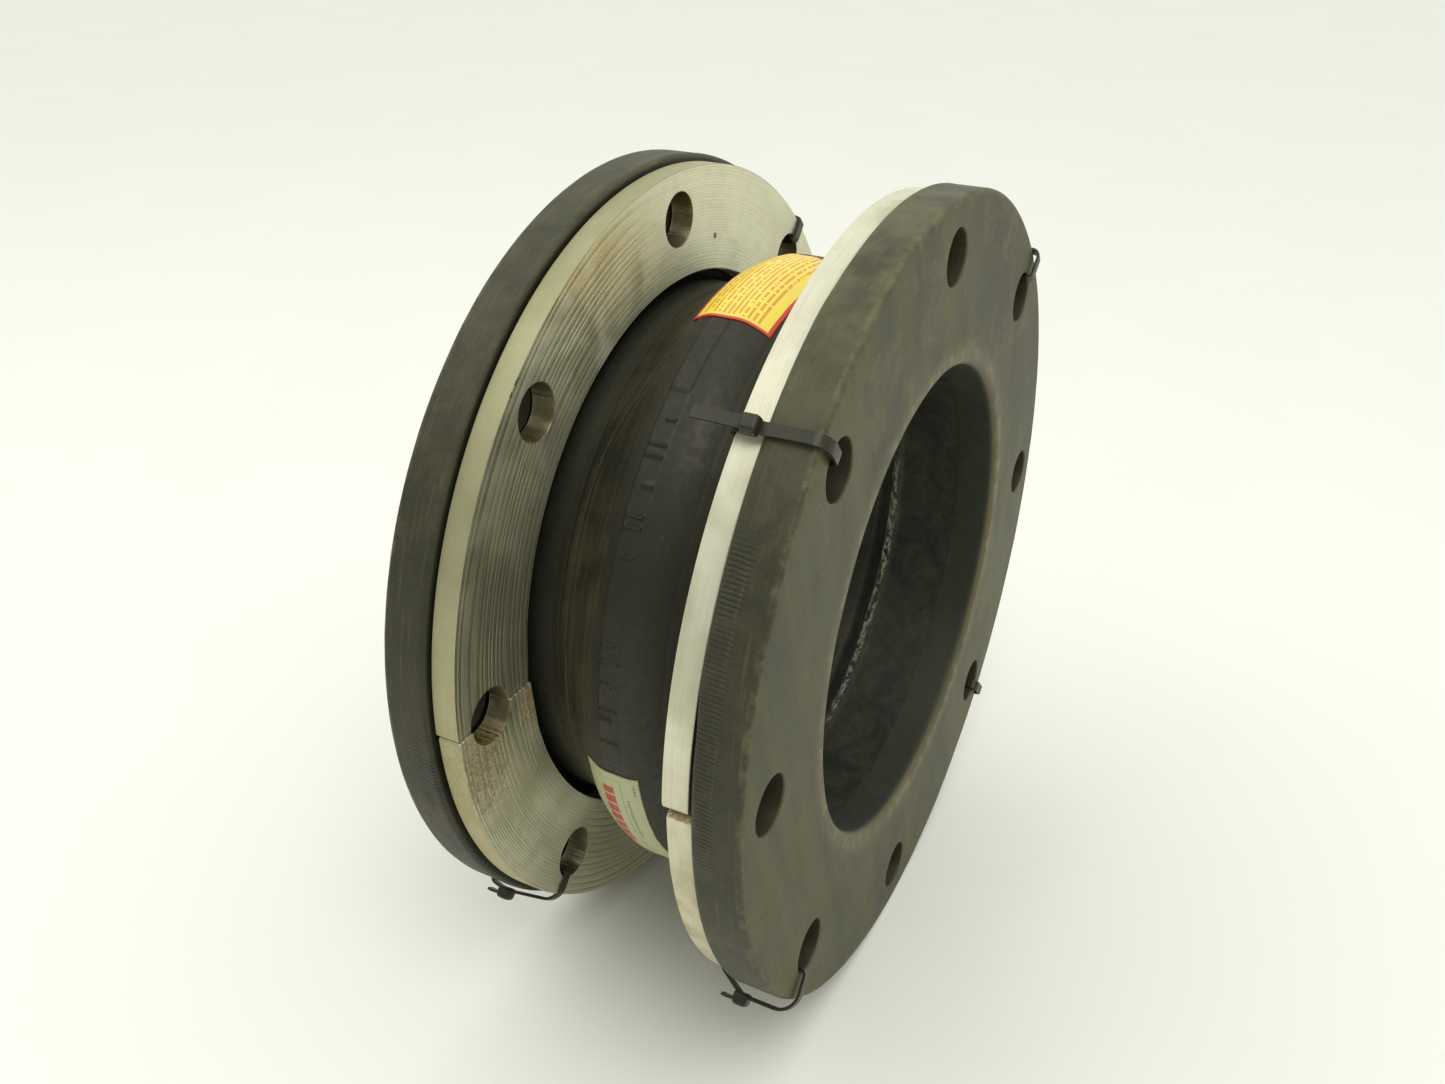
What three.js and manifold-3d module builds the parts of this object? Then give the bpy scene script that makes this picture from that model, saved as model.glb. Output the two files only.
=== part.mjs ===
// A rubber expansion joint for 8 inch pipe: a moulded rubber and fabric spool with one open arch,
// full-face rubber flanges drilled for eight bolts, steel retaining rings split in halves behind
// each flange, steel body rings inside the wall, and nylon ties that hold the ring halves on.
// Millimetres. +X is the bore axis, +Z is up, and the origin is the middle of the bore.
// The rubber spool is one moulding on the real joint. Here it is cut across its axis into slices,
// each with its tube, ply and cover layer, so that the flanges can move against each other.
import * as THREE from "three";
import { mergeVertices } from "three/addons/utils/BufferGeometryUtils.js";
import Module from "manifold-3d";

const wasm = await Module();
wasm.setup();

// Driving dimensions.
const FACE_TO_FACE = 146;
const BORE_R = 101.6;
const NECK_R = 119;
const CROWN_R = 132;
const FLANGE_R = 171.45;
const FLANGE_T = 19;
const BOLT_CIRCLE_R = 149.225;
const BOLT_HOLE_R = 11.11;
const HOLE_COUNT = 8;
const FRONT_TURN = 1.5; // degrees, the front flange and ring sit this far round from the rear ones
const RING_T = 10;
const RING_OUTER_R = 168;
const RING_INNER_R = 124.4;
const RING_TO_FLANGE = 1;
const RING_SPLIT = 1; // gap between two ring halves
const RING_STEP = 0.6; // one half of each ring lies this much nearer the arch than the other
const GAP = 0.3; // clearance between pieces that touch

// The arch: radius of its groove inside, and where each side's slope starts and ends along X.
const ARCH_GROOVE_R = 118;
const OUTER_SLOPE = { foot: 36, top: 4 };
const INNER_SLOPE = { foot: 27, top: 8 };

// The wall's three layers, as shares of its thickness from the bore outwards.
const PLIES_FROM = 0.26;
const COVER_FROM = 0.7;

// The slices' ends along X. The collar only twists, the necks shift and tilt, the shoulders squeeze.
const TWIST_SEAM = 50.5;
const SHIFT_SEAM = 42.5;
const BEND_SEAM = 29;
const SQUEEZE_SEAM = 9;

// Full turns have this many flats, with one flat square to each axis.
const TURN_FLATS = 36;
const HOLE_FLATS = 12;
const FAR = 400; // further than any part of the joint

const BODY_RING_X = 35;
const BODY_RING_WIRE_R = 2.5;

const BAND = { low: -6.5, high: 3.5, from: 262, to: 341, height: 1 };
const NOTICE_LABEL = { low: -14.6, high: 17.4, from: -18, to: 13.5 };
const DATA_LABEL = { low: -16.4, high: 6.2, from: 214, to: 259 };
const LABEL_T = 0.5;

const TIE_W = 4.6;
const TIE_T = 1.3;
const TIE_HEAD = { along: 6.6, across: 6.6, high: 5.2 };
const TIE_CORNER = 2.4;
const TIE_IN_HOLE = 8.5; // the strap's inner leg, out from the bolt hole's centre

const COLOURS = {
  rubber: { color: 0x2b2c28, roughness: 0.85, metalness: 0 },
  fabric: { color: 0x6b6252, roughness: 0.95, metalness: 0 },
  steel: { color: 0xb9b5a2, roughness: 0.38, metalness: 0.9 },
  nylon: { color: 0x161616, roughness: 0.5, metalness: 0 },
  noticePaper: { color: 0xe6d63c, roughness: 0.55, metalness: 0 },
  dataPaper: { color: 0xd6d8bd, roughness: 0.6, metalness: 0 },
};

const joint = new THREE.Group();

function add(name, geometry, finish) {
  const mesh = new THREE.Mesh(geometry, new THREE.MeshStandardMaterial(COLOURS[finish]));
  mesh.name = name;
  joint.add(mesh);
}

// Booleans.

function toSolid(geometry) {
  const bare = geometry.index ? geometry.toNonIndexed() : geometry.clone();
  bare.deleteAttribute("normal");
  bare.deleteAttribute("uv");
  const merged = mergeVertices(bare, 1e-4);
  return new wasm.Manifold(
    new wasm.Mesh({
      numProp: 3,
      vertProperties: merged.attributes.position.array,
      triVerts: new Uint32Array(merged.index.array),
    }),
  );
}

function toGeometry(solid) {
  const mesh = solid.getMesh();
  const geometry = new THREE.BufferGeometry();
  geometry.setAttribute("position", new THREE.BufferAttribute(mesh.vertProperties, 3));
  geometry.setIndex(new THREE.BufferAttribute(mesh.triVerts, 1));
  geometry.computeVertexNormals();
  return geometry;
}

function box(low, high) {
  const size = high.map((value, i) => value - low[i]);
  const middle = high.map((value, i) => (value + low[i]) / 2);
  return toSolid(new THREE.BoxGeometry(...size).translate(...middle));
}

// A closed outline of [x, radius] points turned round the bore axis. The radii are those of the
// flats, and the outline's direction doesn't matter.
function turned(outline) {
  const toCorner = 1 / Math.cos(Math.PI / TURN_FLATS);
  const points = outline.map(([x, r]) => new THREE.Vector2(r * toCorner, x));
  if (THREE.ShapeUtils.area(points) < 0) points.reverse();
  points.push(points[0].clone());
  const geometry = new THREE.LatheGeometry(points, TURN_FLATS, Math.PI / TURN_FLATS);
  return toSolid(geometry.rotateZ(-Math.PI / 2));
}

// The part of a solid between two angles round the bore axis, in degrees from the top towards +Y.
function between(solid, from, to) {
  const wedge = new THREE.Shape();
  wedge.moveTo(0, 0);
  const steps = Math.ceil((to - from) / 30);
  for (let i = 0; i <= steps; i++) {
    const a = THREE.MathUtils.degToRad(from + ((to - from) * i) / steps);
    wedge.lineTo(FAR * Math.sin(a), FAR * Math.cos(a));
  }
  wedge.closePath();
  const prism = new THREE.ExtrudeGeometry(wedge, { depth: FAR, bevelEnabled: false });
  prism.translate(0, 0, -FAR / 2);
  // The shape's x is +Y and its y is +Z, and it is drawn out along +X.
  prism.applyMatrix4(new THREE.Matrix4().set(0, 0, 1, 0, 1, 0, 0, 0, 0, 1, 0, 0, 0, 0, 0, 1));
  return solid.intersect(toSolid(prism));
}

// The wall's shape along X.

function slope(x, { foot, top }) {
  return 1 - THREE.MathUtils.smoothstep(Math.abs(x), top, foot);
}

function innerR(x) {
  return BORE_R + (ARCH_GROOVE_R - BORE_R) * slope(x, INNER_SLOPE);
}

function outerR(x) {
  return NECK_R + (CROWN_R - NECK_R) * slope(x, OUTER_SLOPE);
}

function layerR(x, share) {
  return innerR(x) + (outerR(x) - innerR(x)) * share;
}

const LAYERS = [
  { name: "tube", from: 0, to: PLIES_FROM, finish: "rubber" },
  { name: "plies", from: PLIES_FROM, to: COVER_FROM, finish: "fabric" },
  { name: "cover", from: COVER_FROM, to: 1, finish: "rubber" },
];

// A layer's two radii at x, with the clearance to its neighbours taken off.
function layerSpan(layer, x) {
  const low = layerR(x, layer.from) + (layer.from > 0 ? GAP / 2 : 0);
  const high = layerR(x, layer.to) - (layer.to < 1 ? GAP / 2 : 0);
  return [low, high];
}

// A layer between two ends, bent at the given stations, with a groove for a body ring if asked.
function layerSlice(layer, start, end, stations, grooveX) {
  const xs = [start + GAP / 2, ...stations, end - GAP / 2];
  const inside = xs.map((x) => [x, layerSpan(layer, x)[0]]);
  const outside = xs.map((x) => [x, layerSpan(layer, x)[1]]);
  if (grooveX !== undefined) outside.splice(1, 0, ...groove(grooveX));
  return turned([...inside, ...outside.reverse()]);
}

function bodyRingR() {
  return layerR(BODY_RING_X, COVER_FROM) - GAP / 2 - BODY_RING_WIRE_R;
}

// Four corners of the groove that a body ring sits in, open outwards under the cover.
function groove(centreX) {
  const half = BODY_RING_WIRE_R + GAP;
  const bottom = bodyRingR() - half;
  const top = layerR(BODY_RING_X, COVER_FROM) - GAP / 2;
  return [
    [centreX - half, top],
    [centreX - half, bottom],
    [centreX + half, bottom],
    [centreX + half, top],
  ];
}

function bodyRing(centreX) {
  const corners = [];
  for (let i = 0; i < 6; i++) {
    const a = (i * Math.PI) / 3;
    corners.push([
      centreX + BODY_RING_WIRE_R * 0.95 * Math.cos(a),
      bodyRingR() + BODY_RING_WIRE_R * Math.sin(a),
    ]);
  }
  return turned(corners);
}

// Flanges.

// Turns a geometry round the bore axis, in degrees from the top towards +Y.
function swung(geometry, degrees) {
  return geometry.rotateX(-THREE.MathUtils.degToRad(degrees));
}

// A solid with the bolt holes through it. The first hole is at the top, turned by the given angle.
function drilled(solid, turn) {
  let result = solid;
  const r = BOLT_HOLE_R / Math.cos(Math.PI / HOLE_FLATS);
  for (let k = 0; k < HOLE_COUNT; k++) {
    const drill = new THREE.CylinderGeometry(r, r, FAR, HOLE_FLATS).rotateZ(Math.PI / 2);
    drill.translate(0, 0, BOLT_CIRCLE_R);
    result = result.subtract(toSolid(swung(drill, turn + (k * 360) / HOLE_COUNT)));
  }
  return result;
}

const HALF = FACE_TO_FACE / 2;
const FLANGE_BACK = HALF - FLANGE_T;
const FACE_LAYER_BACK = HALF - 8;
const PLIES_BACK = HALF - 13;
const RING_FRONT = FLANGE_BACK - RING_TO_FLANGE;
const RING_BACK = RING_FRONT - RING_T;
const BORE_EDGE = 4; // the worn round at the bore's mouth
const RIM_EDGE = 1.2;
const NECK_FLARE = { along: 3, out: 5 }; // where the neck widens into the flange's back

// Each flange layer is turned up from the matching layer of the wall. Outlines are [distance from
// mid-length, radius], mirrored for the rear end.
function flangeOutlines(inner) {
  const tube = layerR(HALF, PLIES_FROM);
  const plies = layerR(HALF, COVER_FROM);
  const clear = GAP / 2;
  return {
    face: [
      [inner, BORE_R],
      [HALF - BORE_EDGE, BORE_R],
      [HALF, BORE_R + BORE_EDGE],
      [HALF, FLANGE_R - RIM_EDGE],
      [HALF - RIM_EDGE, FLANGE_R],
      [FACE_LAYER_BACK + clear, FLANGE_R],
      [FACE_LAYER_BACK + clear, tube - clear],
      [inner, tube - clear],
    ],
    plies: [
      [inner, tube + clear],
      [FACE_LAYER_BACK - clear, tube + clear],
      [FACE_LAYER_BACK - clear, FLANGE_R - GAP],
      [PLIES_BACK + clear, FLANGE_R - GAP],
      [PLIES_BACK + clear, plies - clear],
      [inner, plies - clear],
    ],
    back: [
      [inner, plies + clear],
      [PLIES_BACK - clear, plies + clear],
      [PLIES_BACK - clear, FLANGE_R],
      [FLANGE_BACK + RIM_EDGE, FLANGE_R],
      [FLANGE_BACK, FLANGE_R - RIM_EDGE],
      [FLANGE_BACK, NECK_R + NECK_FLARE.out],
      [FLANGE_BACK - NECK_FLARE.along, NECK_R],
      [inner, NECK_R],
    ],
  };
}

const FLANGE_FINISH = { face: "rubber", plies: "fabric", back: "rubber" };

function addFlange(end) {
  const outlines = flangeOutlines(end.seam + GAP / 2);
  for (const [name, outline] of Object.entries(outlines)) {
    const placed = outline.map(([x, r]) => [end.side * x, r]);
    const solid = drilled(turned(placed), end.turn);
    add(`${end.name}_flange_${name}`, toGeometry(solid), FLANGE_FINISH[name]);
  }
}

// Both halves of a retaining ring, parted on the plane through two opposite bolt holes.
function addRetainingRing(end) {
  const outline = [
    [RING_BACK, RING_INNER_R],
    [RING_FRONT, RING_INNER_R],
    [RING_FRONT, RING_OUTER_R],
    [RING_BACK, RING_OUTER_R],
  ];
  const ring = drilled(turned(outline.map(([x, r]) => [end.side * x, r])), 0);
  const upper = toGeometry(ring.intersect(box([-FAR, -FAR, RING_SPLIT / 2], [FAR, FAR, FAR])));
  const lower = toGeometry(ring.intersect(box([-FAR, -FAR, -FAR], [FAR, FAR, -RING_SPLIT / 2])));
  const nearer = end.nearerHalf === "upper" ? upper : lower;
  nearer.translate(-end.side * RING_STEP, 0, 0);
  add(`${end.name}_retaining_ring_upper`, swung(upper, end.turn), "steel");
  add(`${end.name}_retaining_ring_lower`, swung(lower, end.turn), "steel");
}

// Cable ties.

function roundedLoop(path, low, high, r) {
  path.moveTo(low[0] + r, low[1]);
  path.lineTo(high[0] - r, low[1]);
  path.absarc(high[0] - r, low[1] + r, r, -Math.PI / 2, 0, false);
  path.lineTo(high[0], high[1] - r);
  path.absarc(high[0] - r, high[1] - r, r, 0, Math.PI / 2, false);
  path.lineTo(low[0] + r, high[1]);
  path.absarc(low[0] + r, high[1] - r, r, Math.PI / 2, Math.PI, false);
  path.lineTo(low[0], low[1] + r);
  path.absarc(low[0] + r, low[1] + r, r, Math.PI, Math.PI * 1.5, false);
  return path;
}

// A tie through a bolt hole and round the flange's rim. It is drawn with x away from mid-length
// and y outwards from the bore axis, then swung round to its hole. A tail below zero points at the
// arch, and one above zero away from it.
function cableTie(end, { hole, slack, headX, tail }) {
  const low = [RING_BACK - RING_STEP - GAP - TIE_T, BOLT_CIRCLE_R + TIE_IN_HOLE];
  const high = [HALF + GAP + TIE_T, FLANGE_R + 2 * GAP + TIE_T + slack];
  const loop = roundedLoop(new THREE.Shape(), low, high, TIE_CORNER);
  const lowIn = low.map((value) => value + TIE_T);
  const highIn = high.map((value) => value - TIE_T);
  loop.holes.push(roundedLoop(new THREE.Path(), lowIn, highIn, TIE_CORNER - TIE_T));
  const band = new THREE.ExtrudeGeometry(loop, { depth: TIE_W, bevelEnabled: false, curveSegments: 2 });
  band.translate(0, 0, -TIE_W / 2);
  const sole = high[1] - TIE_T;
  const head = box(
    [headX - TIE_HEAD.along / 2, sole, -TIE_HEAD.across / 2],
    [headX + TIE_HEAD.along / 2, sole + TIE_HEAD.high, TIE_HEAD.across / 2],
  );
  const tailY = sole + TIE_T + 2;
  const [start, stop] = [headX, headX + tail].sort((a, b) => a - b);
  const spare = box([start, tailY, -TIE_W / 2], [stop, tailY + TIE_T, TIE_W / 2]);
  const tie = toGeometry(toSolid(band).add(head).add(spare));
  // The loop's x lies on the bore axis, mirrored at the rear end, its y on +Z and its z on -Y.
  tie.applyMatrix4(new THREE.Matrix4().set(1, 0, 0, 0, 0, 0, -1, 0, 0, 1, 0, 0, 0, 0, 0, 1));
  if (end.side < 0) tie.rotateZ(Math.PI);
  return swung(tie, end.turn + (hole * 360) / HOLE_COUNT);
}

const ENDS = [
  {
    name: "rear",
    side: -1,
    seam: TWIST_SEAM,
    turn: 0,
    nearerHalf: "lower",
    ties: [
      { hole: 1, slack: 0.5, headX: 66, tail: 8 },
      { hole: 3, slack: 0.5, headX: 60, tail: 9 },
      { hole: 5, slack: 2, headX: 67, tail: 7.5 },
    ],
  },
  {
    name: "front",
    side: 1,
    seam: SHIFT_SEAM,
    turn: FRONT_TURN,
    nearerHalf: "upper",
    ties: [
      { hole: 1, slack: 0.5, headX: 50, tail: -9 },
      { hole: 3, slack: 0.5, headX: 60, tail: -9 },
      { hole: 5, slack: 4, headX: 53, tail: -7 },
      { hole: 7, slack: 1, headX: 50, tail: -19 },
    ],
  },
];

for (const end of ENDS) {
  addFlange(end);
  addRetainingRing(end);
  for (const tie of end.ties) {
    add(`${end.name}_cable_tie_${tie.hole}`, cableTie(end, tie), "nylon");
  }
}

// The wall between the flanges, slice by slice.
const SLICES = [
  { name: "rear_collar", start: -TWIST_SEAM, end: -SHIFT_SEAM, stations: [] },
  { name: "rear_neck", start: -SHIFT_SEAM, end: -BEND_SEAM, stations: [], ringX: -BODY_RING_X },
  { name: "rear_shoulder", start: -BEND_SEAM, end: -SQUEEZE_SEAM, stations: [-22, -15] },
  { name: "crown", start: -SQUEEZE_SEAM, end: SQUEEZE_SEAM, stations: [0] },
  { name: "front_shoulder", start: SQUEEZE_SEAM, end: BEND_SEAM, stations: [15, 22] },
  { name: "front_neck", start: BEND_SEAM, end: SHIFT_SEAM, stations: [], ringX: BODY_RING_X },
];

for (const slice of SLICES) {
  for (const layer of LAYERS) {
    const grooveX = layer.name === "plies" ? slice.ringX : undefined;
    const solid = layerSlice(layer, slice.start, slice.end, slice.stations, grooveX);
    add(`${slice.name}_${layer.name}`, toGeometry(solid), layer.finish);
  }
}

for (const [name, x] of [["rear", -BODY_RING_X], ["front", BODY_RING_X]])
  add(`${name}_body_ring`, toGeometry(bodyRing(x)), "steel");

// What lies on the arch: the raised moulded band, a notice label and a data label.

// A thin sheet over the wall's outside, between two x values and two angles.
function sheetOnWall({ low, high, from, to }, lift, thickness, steps) {
  const top = [];
  const bottom = [];
  for (let i = 0; i <= steps; i++) {
    const x = low + ((high - low) * i) / steps;
    bottom.push([x, outerR(x) + lift]);
    top.push([x, outerR(x) + lift + thickness]);
  }
  return between(turned([...bottom, ...top.reverse()]), from, to);
}

add("moulded_band", toGeometry(sheetOnWall(BAND, GAP, BAND.height, 2)), "rubber");
add("notice_label", toGeometry(sheetOnWall(NOTICE_LABEL, 2 * GAP, LABEL_T, 6)), "noticePaper");
add("data_label", toGeometry(sheetOnWall(DATA_LABEL, 2 * GAP, LABEL_T, 4)), "dataPaper");

export default joint;
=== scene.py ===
"""A rubber expansion joint for 8 inch pipe: the looks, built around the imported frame.

Shapes are worked out in millimetres and become metres in Builder.piece(). The bore axis is X. A place on
the joint is often given as (x, radius, angle), the angle in degrees from the top towards +Y.
"""

import math
from functools import cache, reduce

import bmesh
import bpy
import numpy as np
from mathutils import Matrix, Vector, noise
from mathutils.geometry import delaunay_2d_cdt


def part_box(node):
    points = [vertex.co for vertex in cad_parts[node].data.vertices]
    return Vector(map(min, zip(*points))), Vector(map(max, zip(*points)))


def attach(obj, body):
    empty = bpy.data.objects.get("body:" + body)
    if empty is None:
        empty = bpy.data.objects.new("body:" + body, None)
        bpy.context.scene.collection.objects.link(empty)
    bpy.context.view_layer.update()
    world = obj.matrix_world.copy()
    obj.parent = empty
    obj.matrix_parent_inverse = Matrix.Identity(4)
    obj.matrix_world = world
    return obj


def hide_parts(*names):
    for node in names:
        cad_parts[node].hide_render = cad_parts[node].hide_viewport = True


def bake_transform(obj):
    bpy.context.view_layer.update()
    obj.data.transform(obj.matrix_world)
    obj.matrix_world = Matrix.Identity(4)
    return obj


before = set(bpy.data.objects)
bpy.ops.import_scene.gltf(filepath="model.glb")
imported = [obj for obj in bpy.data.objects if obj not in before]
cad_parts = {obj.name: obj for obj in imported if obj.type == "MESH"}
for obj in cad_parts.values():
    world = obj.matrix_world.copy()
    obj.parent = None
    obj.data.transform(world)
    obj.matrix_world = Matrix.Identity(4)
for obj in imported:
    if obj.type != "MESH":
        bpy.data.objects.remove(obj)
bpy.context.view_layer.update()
scene = bpy.context.scene

# ---------------- sizes, in millimetres

METRES = 0.001
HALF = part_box("front_flange_face")[1].x / METRES
FLANGE_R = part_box("front_flange_face")[1].z / METRES
RING_OUTER_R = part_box("front_retaining_ring_upper")[1].z / METRES
FLANGE_BACK = HALF - 19
BORE_R = 101.6
NECK_R = 119
CROWN_R = 132
ARCH_GROOVE_R = 118
RING_INNER_R = 124.4
BOLT_CIRCLE_R = 149.225
BOLT_HOLE_R = 11.11
HOLE_COUNT = 8
HOLE_PITCH = 360 / HOLE_COUNT
SPLIT = {"rear": 0.3, "front": 0.7}
# How much nearer the arch each ring half lies than its packed one, and how far it leans.
MOVED_IN = {("rear", "lower"): 0.4, ("front", "upper"): 0.6, ("front", "lower"): -0.6}
LEAN = {("front", "upper"): 0.0070}
OUTER_FOOT, OUTER_TOP = 36, 4
INNER_FOOT, INNER_TOP = 27, 8
NECK_FILLET = 5
BORE_EDGE = 4
RIM_EDGE = 2.2

SIDE = {"rear": -1, "front": 1}
TURNED = {"rear": 0.0, "front": 1.5}  # how far each end is turned about the bore, in degrees


def layers(cad_slice):
    return [f"{cad_slice}_{layer}" for layer in ("tube", "plies", "cover")]


# The skins: where each starts and ends, the two bodies at its ends and the nodes it replaces.
CROWN_SEAM, SHOULDER_SEAM, NECK_SEAM = 17, 37, 48
SKINS = [
    ("rear_collar", -FLANGE_BACK, -NECK_SEAM, "rear_end", "rear_collar", []),
    ("rear_neck", -NECK_SEAM, -SHOULDER_SEAM, "rear_collar", "rear_neck", layers("rear_collar")),
    ("rear_shoulder", -SHOULDER_SEAM, -CROWN_SEAM, "rear_neck", "rear_shoulder", layers("rear_neck")),
    (
        "rear_crown", -CROWN_SEAM, 0, "rear_shoulder", "crown",
        layers("rear_shoulder") + layers("crown") + ["moulded_band"],
    ),
    ("front_crown", 0, CROWN_SEAM, "crown", "front_shoulder", layers("front_shoulder")),
    ("front_shoulder", CROWN_SEAM, SHOULDER_SEAM, "front_shoulder", "front_neck", layers("front_neck")),
    ("front_neck", SHOULDER_SEAM, FLANGE_BACK, "front_neck", "front_end", []),
]

BAND_X = (-6.5, 3.5)
BAND_ANGLES = (261.0, 341.5)
BAND_PLATE_FROM = 325.7
BAND_HEIGHT = 0.45
PLATE_HEIGHT = 1.0
BAND_SLOPE = 1.5

NOTICE = {"x": (-14.6, 17.4), "angles": (-18.0, 12.2)}
DATA = {"x": (-15.3, 8.8), "angles": (214.0, 259.0)}
LABEL_T = 0.3
LABEL_SUNK = 0.25  # how deep a label's back lies below its outside, past its thickness

SWELL, SWELL_SIZE = 0.35, 38  # the arch's unevenness, in height and in width


# ---------------- mesh helpers

def at(x, r, angle):
    a = math.radians(angle)
    return (x, r * math.sin(a), r * math.cos(a))


class Builder:
    """Points and faces gathered from several grids. piece() joins what meets."""

    def __init__(self):
        self.points = []
        self.faces = []

    def grid(self, rows, closed=True):
        """Quads between rows of points. closed joins each row's end to its start."""
        first = len(self.points)
        width = len(rows[0])
        for row in rows:
            self.points.extend(row)
        for j in range(len(rows) - 1):
            for i in range(width if closed else width - 1):
                a = first + j * width + i
                b = first + j * width + (i + 1) % width
                self.faces.append((a, b, b + width, a + width))

    def capped(self, rows):
        """A grid of closed rows, with a face over its first and its last row."""
        first = len(self.points)
        width = len(rows[0])
        last = first + (len(rows) - 1) * width
        self.grid(rows)
        self.faces.append(tuple(range(first, first + width))[::-1])
        self.faces.append(tuple(range(last, last + width)))

    def flat(self, plane_points, triangles, place):
        """Triangles over 2D points, each put in space by place(u, v)."""
        first = len(self.points)
        self.points.extend(place(u, v) for u, v in plane_points)
        self.faces.extend(tuple(first + i for i in t) for t in triangles)

    def piece(self, name, sharp, bend=None):
        """An object, in metres. Its edges of more than sharp degrees stay sharp. bend moves its points."""
        points = [bend(*p) for p in self.points] if bend else self.points
        mesh = bpy.data.meshes.new(name)
        mesh.from_pydata([tuple(c * METRES for c in p) for p in points], [], self.faces)
        bm = bmesh.new()
        bm.from_mesh(mesh)
        bmesh.ops.remove_doubles(bm, verts=bm.verts, dist=2e-6)
        bmesh.ops.recalc_face_normals(bm, faces=bm.faces)
        bm.to_mesh(mesh)
        bm.free()
        mesh.shade_smooth()
        mesh.set_sharp_from_angle(angle=math.radians(sharp))
        piece = bpy.data.objects.new(name, mesh)
        scene.collection.objects.link(piece)
        return piece


def fill(loops, extra, keep):
    """Triangulates the space between loops of 2D points, with extra points inside it.

    keep(u, v) says whether a triangle's middle belongs to the shape. Returns (points, triangles)."""
    points = []
    edges = []
    for loop in loops:
        first = len(points)
        points.extend(loop)
        edges.extend((first + i, first + (i + 1) % len(loop)) for i in range(len(loop)))
    points.extend(extra)
    made = delaunay_2d_cdt([Vector(p) for p in points], edges, [], 0, 1e-6)
    corners, triangles = made[0], made[2]
    inside = []
    for t in triangles:
        u = sum(corners[i].x for i in t) / 3
        v = sum(corners[i].y for i in t) / 3
        if keep(u, v):
            inside.append(tuple(t))
    return [(c.x, c.y) for c in corners], inside


def circle(cu, cv, r, count):
    return [
        (cu + r * math.sin(2 * math.pi * i / count), cv + r * math.cos(2 * math.pi * i / count))
        for i in range(count)
    ]


def hole_centres(turn, numbers=range(HOLE_COUNT)):
    """The middles of the numbered bolt holes, in the Y-Z plane."""
    return [at(0, BOLT_CIRCLE_R, turn + HOLE_PITCH * k)[1:] for k in numbers]


def wave(x, r, angle, size, seed=0.0):
    """Smooth noise from -1 to 1 at a place on the joint, with lumps of the given size."""
    p = Vector(at(x, r, angle)) / size
    return noise.noise(p + Vector((seed, 3.1 * seed, -1.7 * seed)))


def quarter_round(parts):
    """An edge's round as (share of its size in from the face, share short of the full width)."""
    turns = [math.pi / 2 * i / parts for i in range(parts + 1)]
    return [(1 - math.cos(t), 1 - math.sin(t)) for t in turns]


def keep_flat(piece):
    """Shades flat faces flat where they meet a rounded edge."""
    mod = piece.modifiers.new("flat_faces", "WEIGHTED_NORMAL")
    mod.keep_sharp = True


def smoothstep(t):
    t = min(1.0, max(0.0, t))
    return t * t * (3 - 2 * t)


# ---------------- the spool's wall

# Where the arch stands prouder than its packed slices: (middle angle, degrees each way, height).
BULGES = [(15.0, 78.0, 3.8), (214.0, 74.0, 5.0)]


def slope(x, foot, top):
    return smoothstep((foot - abs(x)) / (foot - top))


def inner_r(x):
    return BORE_R + (ARCH_GROOVE_R - BORE_R) * slope(x, INNER_FOOT, INNER_TOP)


def bulge(x, angle):
    """How much prouder the arch stands at the top and at the foot, where the joint bears its weight."""
    height = 0.0
    for middle, reach, most in BULGES:
        off = abs((angle - middle + 180) % 360 - 180)
        height += most * smoothstep(1 - off / reach)
    return height * slope(x, OUTER_FOOT, OUTER_TOP)


def outer_r(x):
    r = NECK_R + (CROWN_R - NECK_R) * slope(x, OUTER_FOOT, OUTER_TOP)
    into = abs(x) - (FLANGE_BACK - NECK_FILLET)
    if into > 0:
        r += NECK_FILLET - math.sqrt(max(0.0, NECK_FILLET**2 - into**2))
    return r


# Lines left in the cover by its wrapping: (x at WRAP_FROM, x at WRAP_TO, depth, half width).
WRAP_FROM, WRAP_TO = 200, 345
WRAP_LINES = [
    (-12.6, -13.6, 0.35, 0.5),
    (-30.5, -33.0, 0.25, 0.5),
    (-20.0, -18.0, 0.18, 0.4),
    (11.0, 12.5, 0.12, 0.4),
    (19.5, 18.0, 0.20, 0.5),
    (27.0, 28.5, 0.15, 0.5),
]
FOLD = {
    "fades_in": 190, "from": 312.0, "to": 344.0, "x_far": -27.5, "x_near": -13.0,
    "depth": 0.9, "half": 0.6,
}


def line_depth(x, centre, half):
    return math.exp(-(((x - centre) / half) ** 2))


def fold_x(angle):
    """Where the fold in the cover runs: out of the notice label's corner, down to the flank's foot."""
    t = smoothstep((FOLD["to"] - angle) / (FOLD["to"] - FOLD["from"]))
    return FOLD["x_near"] + (FOLD["x_far"] - FOLD["x_near"]) * t


STEP = 0.16  # degrees over which a raised bar's edge climbs
BAR_HEIGHT = 0.55
BAR_SLOPE = 0.3
BAR_HALF = 0.27
BAR_X = (-5.2, -2.2, 0.2, 2.4)  # the places along the bore where bars start and end


def band_bars():
    """The raised bars on the moulded band, as (middle angle, x from, x to)."""
    bars = []
    for i, angle in enumerate((321.0, 316.5, 314.6, 309.6, 304.8, 303.0, 298.4)):
        bars.append((angle, BAR_X[0] if i % 3 else BAR_X[1], BAR_X[3]))
    for i, angle in enumerate((284.0, 281.2, 276.8, 272.4, 270.6, 266.0)):
        bars.append((angle, BAR_X[0], BAR_X[3] if i % 2 else BAR_X[2]))
    return bars


BARS = band_bars()


def rise(value, low, high, width):
    """1 between low and high, 0 outside, climbing over width."""
    up = min(1.0, max(0.0, (value - low) / width))
    down = min(1.0, max(0.0, (high - value) / width))
    return min(up, down)


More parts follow.
